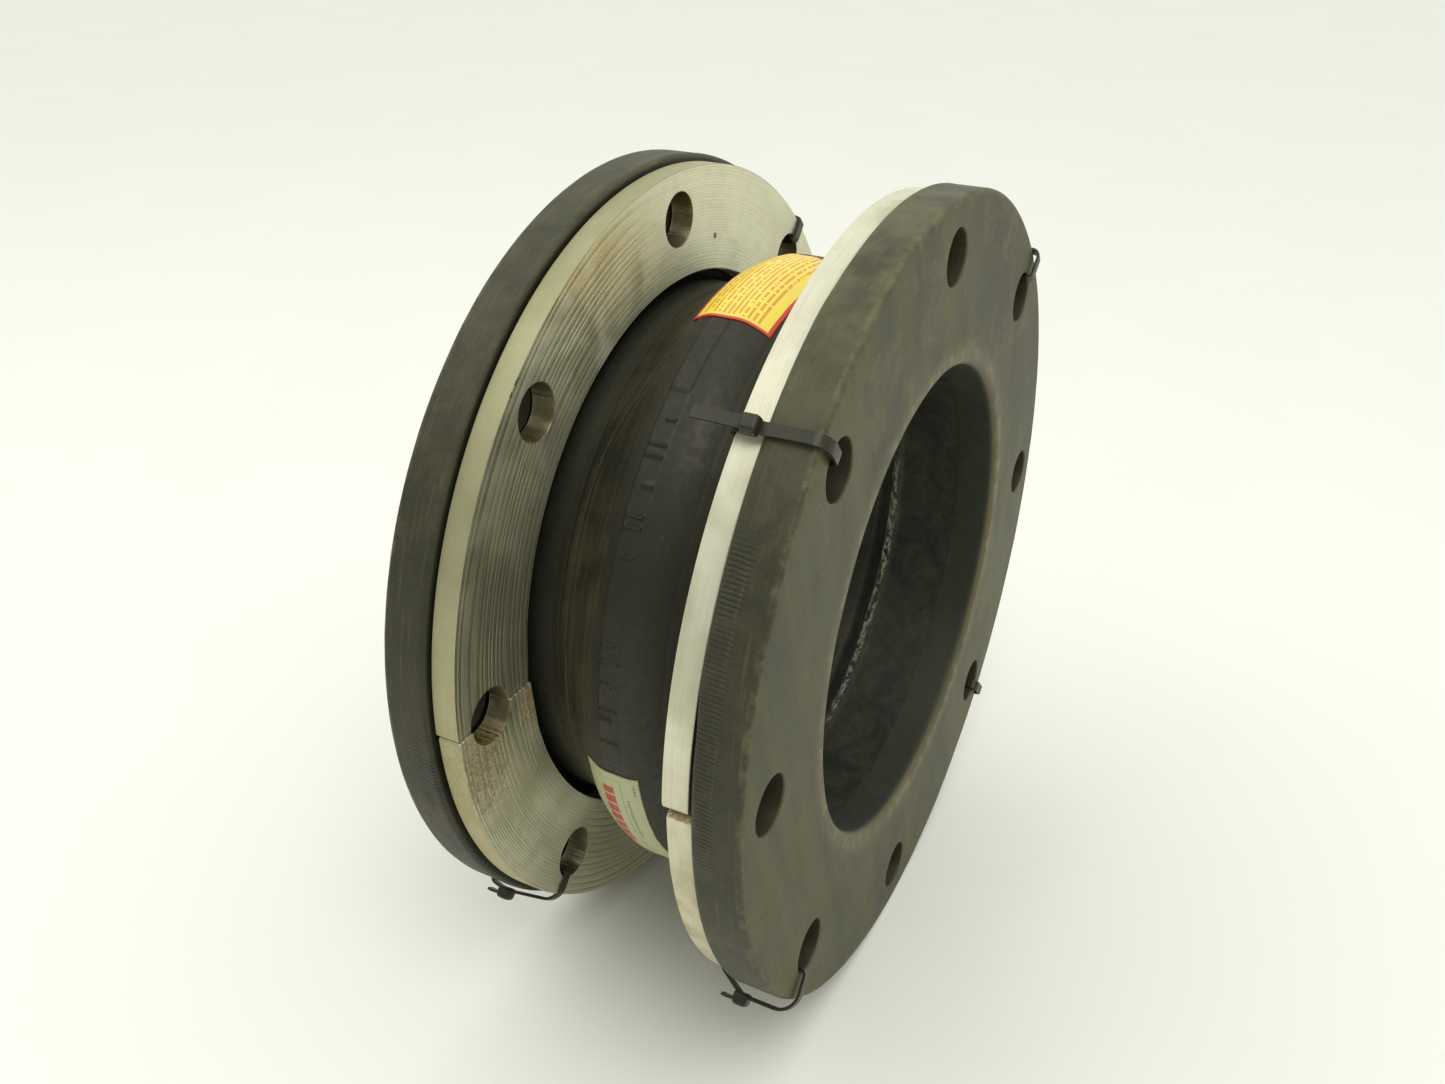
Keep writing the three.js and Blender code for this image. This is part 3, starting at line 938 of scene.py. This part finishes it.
@cache
def rubber_skin():
    """The arch, the neck and the bore: smooth dark cover with dust on its left flank."""
    p = Paint("rubber_cover", stored=True)
    broad = p.noise(42, 4, 0.6, twist=0.4)
    fine = p.noise(3.0, 5, 0.6, shift=9)
    streaks = p.noise(1.0, 4, 0.6, at=p.polar(0.05, 2.2, 0.55))
    patchy = p.step(p.add(broad, p.mul(streaks, 0.5)), 0.55, 0.95)
    dusty = p.mul(p.near(p.x, -21, 8, 6), p.mul(patchy, 0.75))
    specks = p.patchy(0.72, 0.80, 1.1, 2, 0.5, shift=31)
    dirt = p.patchy(0.62, 0.8, 0.6, 3, 0.7, at=p.polar(0.4, 9, 1.2))
    cover = p.mix(dusty, p.mix(broad, (22, 22, 18), (34, 34, 28)), (70, 66, 43))
    cover = p.coats(cover, (specks, 0.35, (105, 102, 80)), (dirt, 0.3, (66, 66, 54)))
    fold_at = p.step(p.angle, FOLD["from"] - 360, FOLD["to"] - 360, FOLD["x_far"], FOLD["x_near"])
    fold_at = p.add(fold_at, p.mul(p.noise(18, 3, 0.6, shift=7), 2.0))
    # Painted shade: two dark lines along the fold, in its creases.
    for offset, strength in ((-1.0, 1.0), (-5.2, 0.85)):
        crease = p.near(p.sub(p.x, fold_at), offset, 0.12, 0.32)
        crease = p.mul(crease, p.mul(p.step(p.angle, -112, -60, 0.0, strength), p.below(p.angle, -18, -12)))
        cover = p.mix(crease, cover, (14, 14, 11))
    tube = p.mix(p.patchy(0.35, 0.7, 16, 5, 0.65, twist=0.8, shift=4), (28, 31, 27), (50, 53, 43))
    wander = p.add(18.5, p.mul(p.noise(14, 3, 0.7), 6.0))
    lip = p.mul(p.near(p.x, wander, 1.3, 1.9), p.near(p.angle, 125, 32, 14))
    faint = p.mul(p.near(p.x, -22.0, 0.8, 1.6), 0.5)
    flaky = p.patchy(0.46, 0.56, 4.0, 6, 0.78, twist=0.6, shift=3)
    tube = p.mix(p.mul(p.most(lip, faint), p.mul(flaky, 0.85)), tube, (172, 180, 154))
    inside = p.below(p.r, ARCH_GROOVE_R + 0.4, ARCH_GROOVE_R + 0.6)
    rough = p.blend(dusty, p.blend(p.step(fine, 0.3, 0.7), 0.42, 0.58), 0.75)
    height = p.add(p.mul(fine, 0.5), p.mul(p.noise(0.7, 3, 0.6), 0.5))
    return p.finish(p.mix(inside, cover, tube), rough, height, 0.12, **BLACK)


@cache
def rubber_flange(end_name):
    """A flange's face, worn rim, bore mouth and bolt holes."""
    p = Paint(f"rubber_flange_{end_name}")
    side = SIDE[end_name]
    out = p.mul(p.x, float(side))
    broad = p.noise(55, 4, 0.55, shift=5 * side)
    cloudy = p.noise(15, 6, 0.68, twist=0.6, shift=11)
    wiped = p.vector(p.add(p.mul(p.y, 0.055), p.mul(p.z, 0.016)), p.mul(p.z, 0.007), p.mul(p.x, 0.05))
    wipes = p.noise(1.0, 6, 0.68, at=wiped)
    tone = p.add(p.mul(broad, 0.4), p.mul(wipes, 0.6))
    bloom = p.step(p.add(p.mul(cloudy, 0.65), p.mul(wipes, 0.35)), 0.48, 0.70)
    dirt = p.patchy(0.52, 0.74, 8, 6, 0.72, twist=1.2, shift=21)
    tan = p.mul(p.near(p.angle, 8, 30, 40), p.patchy(0.46, 0.66, 24, 5, 0.7, twist=0.8, shift=33))
    mouth = p.below(p.r, BORE_R + 3.0, BORE_R + 14.0)
    sin, cos = p.mul(p.math("SINE", p.turn), 18.0), p.mul(p.math("COSINE", p.turn), 18.0)
    cracks = p.patchy(0.44, 0.66, 1.0, 4, 0.7, at=p.vector(sin, cos, p.mul(p.r, 0.09)))
    worn_mouth = p.mul(p.near(p.r, BORE_R + 4.5, 1.6, 2.2), cracks)
    chips = p.patchy(0.735, 0.77, 2.0, 2, 0.5, shift=41)
    face = p.coats(
        p.mix(p.step(tone, 0.34, 0.66), (43, 44, 27), (74, 74, 45)),
        (bloom, 0.42, (98, 95, 58)),
        (dirt, 0.5, (38, 38, 29)),
        (tan, 0.4, (108, 92, 60)),
        (mouth, 0.4, (106, 100, 72)),
        (worn_mouth, 0.32, (150, 142, 112)),
        (chips, 0.55, (150, 142, 114)),
    )
    bore = p.mul(p.below(p.r, BORE_R + 0.3, BORE_R + 1.6), p.below(out, HALF - 3.0, HALF - 1.5))
    colour = p.mix(bore, face, p.mix(cloudy, (30, 33, 28), (52, 54, 43)))
    edge = p.step(p.r, FLANGE_R - 2.0, FLANGE_R - 0.6)
    scuffs = p.patchy(0.52, 0.74, 1.0, 4, 0.6, at=p.polar(0.0, 7.0, 0.8))
    rim = p.coats(
        p.mix(p.step(cloudy, 0.35, 0.65), (44, 45, 32), (64, 64, 46)),
        (p.near(p.angle, -100, 28, 26), 0.6, (34, 35, 26)),
        (p.patchy(0.5, 0.75, 30, 5, 0.7, shift=14), 0.4, (86, 80, 56)),
        (p.patchy(0.68, 0.76, 1.4, 3, 0.6, shift=51), 0.45, (122, 118, 94)),
        (scuffs, 0.25, (108, 104, 78)),
    )
    if side > 0:
        dusty_top = p.mul(p.near(p.angle, -4, 16, 36), p.patchy(0.25, 0.70, 16, 4, 0.6, shift=61))
        rim = p.coats(rim, (dusty_top, 0.5, (112, 108, 78)))
    colour = p.mix(edge, colour, rim)
    start, end = (-140, -88) if side < 0 else (-96, -54)
    ribbed = p.mul(p.near(p.angle, (start + end) / 2, (end - start) / 2 - 6, 8), p.step(out, 65.0, 60.0))
    ribbed = p.mul(ribbed, p.patchy(0.32, 0.55, 9, 4, 0.6, shift=19), p.below(out, 65.0, 69.5))
    slant = p.add(p.mul(p.x, 0.25), p.mul(cloudy, 4.0))
    ribs = p.mul(p.waves(p.turn, 1.7 / FLANGE_R, slant), ribbed, edge)
    worn = p.mul(p.near(p.r, FLANGE_R - 1.0, 0.8, 1.2), p.near(out, HALF - 1.0, 0.8, 1.2))
    worn = p.mul(worn, p.patchy(0.42, 0.68, 7, 5, 0.72, shift=2))
    # Painted shade: the ripples' valleys on the rim are painted near black.
    colour = p.coats(colour, (p.step(ribs, 0.0, 0.8), 0.85, (18, 18, 13)), (worn, 0.36, (122, 116, 84)))
    # Painted shade: the flange's back face, inside its rounded rim, is painted darker, where the retaining
    # ring and the arch keep light off it.
    shaded_back = p.below(out, FLANGE_BACK + 0.15, FLANGE_BACK + 1.2)
    shaded_back = p.mul(shaded_back, p.below(p.r, FLANGE_R - 2.4, FLANGE_R - 0.8))
    colour = p.mix(shaded_back, colour, p.mix(cloudy, (24, 24, 19), (36, 36, 29)))
    wall = p.below(hole_distance(p, end_name), BOLT_HOLE_R + 0.3, BOLT_HOLE_R + 0.3 + 0.5)
    wall = p.mul(wall, p.below(out, HALF - 1.2, HALF - 0.4))
    colour = p.mix(wall, colour, p.mix(cloudy, (34, 32, 24), (66, 60, 45)))
    rust = p.near(hole_distance(p, end_name, 0), 16.0, 4.0, 4.0)
    rust = p.mul(rust, p.patchy(0.64, 0.70, 1.8, 3, 0.6, shift=8))
    colour = p.coats(colour, (rust, 0.8, (120, 66, 38)))
    rough = p.blend(bloom, 0.54, 0.68)
    rough = p.blend(p.noise(1.3, 4, 0.6), p.sub(rough, 0.07), p.add(rough, 0.07))
    height = p.add(p.mul(p.noise(0.8, 3, 0.6, shift=6), 0.3), p.mul(cloudy, 0.7))
    height = p.sub(p.add(height, p.mul(ribs, -0.6)), p.mul(chips, 0.5))
    return p.finish(colour, rough, height, 0.22, **BLACK)


def hole_distance(p, end_name, number=None):
    """How far a place is from the middle of the nearest bolt hole, or of the numbered one."""
    turn = TURNED[end_name]
    if number is not None:
        (cu, cv), = hole_centres(turn, [number])
        return p.far(p.sub(p.y, cu), p.sub(p.z, cv))
    turned = p.sub(p.angle, turn)
    nearest = p.mul(p.math("ROUND", p.math("DIVIDE", turned, HOLE_PITCH)), HOLE_PITCH)
    off = p.math("RADIANS", p.sub(turned, nearest))
    return p.far(p.mul(p.r, p.math("SINE", off)), p.sub(p.mul(p.r, p.math("COSINE", off)), BOLT_CIRCLE_R))


@cache
def ring_steel(end_name):
    """Turned steel: grooves round the face, a brushed rim, rust about the rear ring's split."""
    p = Paint(f"{end_name}_ring_steel")
    rim = p.step(p.r, RING_OUTER_R - 0.45, RING_OUTER_R - 0.15)
    on_face = p.sub(1.0, rim)
    cloudy = p.noise(26, 5, 0.6, twist=0.6, shift=3)
    drift = p.noise(1.0, 2, 0.5, at=p.polar(0.08, 0.7, 0.0))
    fine = p.noise(1.0, 3, 0.6, at=p.polar(2.8, 1.6, 0.0))
    coarse = p.waves(p.r, 2.9, p.mul(drift, 30.0))
    close = p.waves(p.r, 1.3, p.mul(drift, -22.0))
    deep_cut = p.most(p.near(p.angle, -58, 34, 22), p.step(p.math("ABSOLUTE", p.angle), 128, 150))
    deep_cut = p.step(deep_cut, 0.0, 1.0, 0.12, 1.0)
    deep_cut = p.mul(deep_cut, p.step(p.noise(40, 2, 0.5, shift=23), 0.3, 0.6, 0.5, 1.0))
    # Painted shade: the grooves' valleys are painted darker, most where deep_cut holds.
    groove_shade = p.mul(p.step(coarse, 0.55, 0.98), deep_cut)
    groove_shade = p.most(groove_shade, p.mul(p.step(close, 0.4, 0.95), 0.3))
    base = p.coats(
        p.mix(cloudy, (212, 210, 178), (236, 234, 208)),
        # Painted reflection: a darker band across the face about -78 degrees.
        (p.near(p.angle, -78, 12, 20), 0.3, (118, 118, 88)),
        (p.step(fine, 0.42, 0.8), 0.4, (238, 235, 214)),
        (groove_shade, 0.62, (112, 108, 82)),
        (p.patchy(0.56, 0.72, 14, 5, 0.7, twist=1.0, shift=27), 0.18, (136, 128, 94)),
    )
    dull, bright = RIM_COLOURS[end_name]
    brushed = p.noise(1.0, 4, 0.6, at=p.polar(0.0, 5.0, 1.6))
    patches = p.patchy(0.46, 0.6, 1.0, 3, 0.5, at=p.polar(0.0, 3.4, 0.02), shift=1.5)
    # Painted shade: the rim grows darker and warmer towards the bottom, with darker streaks laid over its
    # lower part.
    shaded_low = p.step(p.z, 40, -60)
    low_streaks = p.patchy(0.44, 0.68, 1.0, 5, 0.65, at=p.polar(0.0, 14.0, 0.12), shift=5)
    smooth = p.coats(
        p.mix(cloudy, dull, bright),
        (p.step(brushed, 0.42, 0.72), 0.14, (140, 136, 108)),
        (patches, 0.4, (150, 150, 112)),
        (shaded_low, 0.4, (192, 182, 128)),
        (p.mul(low_streaks, shaded_low), 0.55, (160, 146, 104)),
    )
    wall = p.below(hole_distance(p, end_name), BOLT_HOLE_R + 0.15, BOLT_HOLE_R + 0.15 + 0.35)
    drill_rings = p.waves(p.x, 0.9, p.mul(cloudy, 9.0))
    bored = p.mix(p.noise(2.5, 4, 0.7), (104, 96, 70), (170, 162, 128))
    bored = p.coats(bored, (p.step(drill_rings, 0.3, 0.9), 0.4, (74, 68, 50)))
    colour = p.mix(wall, p.mix(rim, base, smooth), bored)
    if end_name == "rear":
        outer = p.mul(p.near(p.angle, -96.5, 4, 8), p.step(p.r, 138, 152))
        inner = p.mul(p.near(p.angle, -94, 3, 9), p.near(p.r, 127.5, 4.0, 5.0))
        where = p.mul(p.most(outer, inner), p.step(p.z, -1.5, 0.0, 1.0, 0.1))
        where = p.mul(where, p.step(rim, 0.0, 1.0, 1.0, 0.3))
    else:
        gap_z = p.sub(p.z, p.mul(p.y, math.sin(math.radians(-TURNED[end_name]))))
        where = p.mul(p.near(gap_z, -1.1, 0.7, 0.9), p.step(p.y, 0.0, -1.0))
    rust = p.mul(p.patchy(0.48, 0.56, 2.0, 6, 0.75, twist=0.8, shift=13), where)
    grime = p.mul(p.patchy(0.45, 0.65, 9, 5, 0.7, shift=17), p.most(where, 0.08))
    rusted = p.mix(p.noise(1.4, 3, 0.6), (104, 78, 38), (168, 130, 68))
    scar = p.mul(p.near(p.angle, 12.8, 0.3, 0.5), p.near(p.r, 138.6, 0.6, 1.0))
    scar = p.mul(scar, p.patchy(0.36, 0.46, 1.1, 3, 0.7))
    nick = p.mul(p.near(p.angle, -44.4, 1.4, 1.4), p.near(p.r, RING_OUTER_R - 0.9, 0.5, 0.6))
    scar = p.most(scar, p.mul(nick, p.patchy(0.48, 0.56, 1.6, 3, 0.7, shift=29)))
    scar = p.mul(scar, on_face)
    colour = p.coats(colour, (grime, 0.5, (134, 112, 74)), (rust, 0.9, rusted))
    colour = p.mix(scar, colour, (30, 29, 24))
    metal = p.sub(1.0, p.most(rust, scar, p.mul(grime, 0.6)))
    metal = p.mul(metal, p.blend(rim, 0.86, 0.4))
    rough = p.blend(p.step(cloudy, 0.35, 0.65), 0.36, 0.48)
    rough = p.blend(rim, rough, p.blend(brushed, 0.42, 0.62))
    rough = p.blend(p.most(rust, p.mul(grime, 0.5)), rough, 0.8)
    grooves = p.add(p.mul(coarse, deep_cut, -0.36), p.mul(close, -0.08), p.mul(fine, 0.30))
    rings = p.mul(drill_rings, -0.12, wall)
    pits = p.mul(p.noise(0.9, 4, 0.65, shift=2), p.blend(rust, 0.06, 0.6))
    height = p.add(p.mul(grooves, on_face), pits, rings, p.mul(brushed, 0.07, rim))
    tangent = p.node("Tangent", direction_type="RADIAL", axis="X").outputs["Tangent"]
    return p.finish(
        colour, rough, height, 0.2,
        Metallic=metal, Anisotropic=0.75, Anisotropic_Rotation=0.25, Tangent=tangent,
    )


@cache
def nylon(part):
    p = Paint(f"nylon_{part}")
    scuffs = p.patchy(0.6, 0.75, 0.9, 4, 0.7, shift=4)
    colour = p.coats(p.mix(p.noise(8, 3, 0.5), *NYLON_COLOURS[part]), (scuffs, 0.25, (96, 95, 80)))
    rough = p.blend(p.noise(2.0, 3), 0.32, 0.46)
    return p.finish(colour, rough, p.noise(0.5, 3, 0.6), 0.03, **BLACK)


@cache
def notice_print():
    """A yellow notice: a red border and rows of red and dark dashes that stand for its words."""
    p = Paint("notice_print", stored=True)
    low, high = NOTICE["x"]
    around = p.mul(p.angle, DEGREE_MM)
    near_end, far_end = (a * DEGREE_MM for a in NOTICE["angles"])
    inset = p.least(p.sub(p.x, low), p.sub(high, p.x), p.sub(around, near_end), p.sub(far_end, around))
    paper = p.mix(p.noise(12, 4, 0.6), (243, 214, 62), (250, 228, 92))
    border = p.below(inset, 1.2, 1.35)
    row_pitch, dash_pitch = 2.05, 0.95
    from_edge = p.sub(p.x, low + 3.2)
    row = p.math("FLOOR", p.math("DIVIDE", from_edge, row_pitch))
    cell = p.vector(p.mul(row, 7.3), p.mul(p.math("FLOOR", p.math("DIVIDE", around, dash_pitch)), 3.7))
    mark = p.node("TexWhiteNoise", {"Vector": cell}, noise_dimensions="3D").outputs["Value"]
    dash = p.mul(p.step(mark, 0.20, 0.22), p.row(around, dash_pitch, 0.34, 0.03))
    dash = p.mul(dash, p.row(from_edge, row_pitch, 0.22, 0.03, 0.42))
    dash = p.mul(dash, p.mul(p.step(inset, 2.6, 2.7), p.below(p.x, high - 4.6, high - 4.5)))
    ink = p.mix(border, (204, 112, 44), (208, 50, 38))
    grubby = p.patchy(0.52, 0.75, 5, 5, 0.7, twist=0.8)
    colour = p.coats(p.mix(p.most(border, dash), paper, ink), (grubby, 0.16, (160, 140, 70)))
    vinyl = {"Specular_IOR_Level": 0.5, "Coat_Weight": 0.15, "Coat_Roughness": 0.3}
    return p.finish(colour, 0.38, p.noise(6, 3), 0.12, **vinyl)


@cache
def data_print():
    """A pale data plate: a thin frame round a row of red blocks, and rows of dark dashes and lines."""
    p = Paint("data_print", stored=True)
    down = p.sub((DATA["angles"][1] - 360) * DEGREE_MM, p.mul(p.angle, DEGREE_MM))
    # Painted shade: the cream paper is painted darker and more olive, for the shade it lies in low on the
    # arch.
    paper = p.mix(p.noise(9, 4, 0.6), (170, 175, 132), (190, 193, 152))
    bar = p.mul(p.near(down, 30.5, 22.4, 0.1), p.near(p.x, -5.5, 2.6, 0.1), p.row(down, 6.4, 0.41, 0.02))
    words = p.mul(p.near(down, 28.0, 14.5, 0.1), p.near(p.x, 2.9, 0.7, 0.1))
    words = p.most(words, p.mul(p.near(down, 6.5, 3.5, 0.1), p.near(p.x, 6.8, 0.6, 0.1)))
    across = p.least(p.add(p.x, 12.9), p.sub(0.5, p.x))
    along = p.least(p.sub(down, 3.4), p.sub(62.0, down))
    frame_line = p.near(p.least(across, along), 0.0, 0.13, 0.07)
    rows = p.mul(p.row(down, 3.1, 0.08, 0.03), p.step(down, 66, 66.2))
    rows = p.most(rows, p.mul(words, p.row(down, 1.9, 0.32, 0.04)), frame_line)
    colour = p.mix(bar, p.coats(paper, (rows, 0.7, (88, 92, 78))), (178, 62, 48))
    grubby = p.patchy(0.48, 0.75, 6, 5, 0.7, twist=0.8)
    colour = p.coats(colour, (grubby, 0.35, (140, 142, 108)))
    return p.finish(colour, 0.45, p.noise(6, 3), 0.12, Specular_IOR_Level=0.5)


@cache
def wire_steel():
    p = Paint("body_ring_steel")
    colour = p.mix(p.noise(4, 4, 0.6), (120, 116, 104), (164, 160, 146))
    return p.finish(colour, 0.4, p.noise(0.8, 3), 0.04, Metallic=1.0)


# ---------------- the object

for end_name in SIDE:
    flange(end_name)
    for half in ("upper", "lower"):
        ring_half(end_name, half)
for part in SKINS:
    skin(*part)
for node in TIES:
    cable_tie(node)
label("notice", NOTICE, notice_print())
label("data", DATA, data_print())
for node in ("rear_body_ring", "front_body_ring"):
    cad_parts[node].data.materials.clear()
    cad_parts[node].data.materials.append(wire_steel())

# ---------------- floor, light and camera

FLOOR_REACH = 60  # metres


def floor():
    corners = [(x * FLOOR_REACH, y * FLOOR_REACH) for x, y in ((-1, -1), (1, -1), (1, 1), (-1, 1))]
    mesh = bpy.data.meshes.new("floor")
    mesh.from_pydata([(x, y, -FLANGE_R * METRES) for x, y in corners], [], [(0, 1, 2, 3)])
    piece = bpy.data.objects.new("floor", mesh)
    scene.collection.objects.link(piece)
    p = Paint("floor")
    mottled = p.mix(p.noise(180, 3), (239, 239, 234), (243, 243, 239))
    mesh.materials.append(p.finish(mottled, 0.9, Specular_IOR_Level=0.1))


def lamp(name, place, target, size, power, colour):
    light = bpy.data.lights.new(name, "AREA")
    light.shape = "DISK"
    light.size = size
    light.energy = power
    light.color = colour
    lamp_object = bpy.data.objects.new(name, light)
    lamp_object.location = place
    lamp_object.rotation_euler = (Vector(target) - Vector(place)).to_track_quat("-Z", "Y").to_euler()
    scene.collection.objects.link(lamp_object)


def camera(place, yaw, pitch, lens):
    """Looks along a heading from +Y, turned towards -X by yaw, and down by pitch, in degrees."""
    yaw, pitch = math.radians(yaw), math.radians(pitch)
    right = Vector((math.cos(yaw), math.sin(yaw), 0))
    ahead = Vector((-math.sin(yaw) * math.cos(pitch), math.cos(yaw) * math.cos(pitch), -math.sin(pitch)))
    up = right.cross(ahead)
    data = bpy.data.cameras.new("camera")
    data.lens = lens
    data.sensor_width = 36
    data.clip_start = 0.01
    view = bpy.data.objects.new("camera", data)
    turn = Matrix((right, up, -ahead)).transposed()
    view.matrix_world = Matrix.Translation(Vector(place) * METRES) @ turn.to_4x4()
    scene.collection.objects.link(view)
    scene.camera = view


floor()
world = bpy.data.worlds.new("studio")
scene.world = world
world.use_nodes = True
sky = Nodes(world.node_tree)
_, towards_y, towards_z = sky.node("SeparateXYZ", {0: sky.node("TexCoord").outputs["Generated"]}).outputs
overhead = sky.step(towards_z, 0.4, 0.9, 0.0, 0.55)
behind = sky.step(towards_y, -0.75, 0.25, 0.42, 1.0)
backdrop = sky.tree.nodes["Background"]
sky.put(backdrop.inputs["Strength"], sky.add(overhead, behind))
sky.put(backdrop.inputs["Color"], srgb(239, 240, 232))
lamp("key", (0.55, -0.7, 1.6), (0, 0, 0), 0.9, 8.0, (1.0, 0.99, 0.95))
lamp("fill", (-0.9, -0.6, 1.3), (0, 0, 0), 1.2, 3.5, (1.0, 1.0, 0.97))
camera((204.09, -434.43, 285.51), 27.63, 29.87, 30.78)
scene.view_settings.view_transform = "Standard"
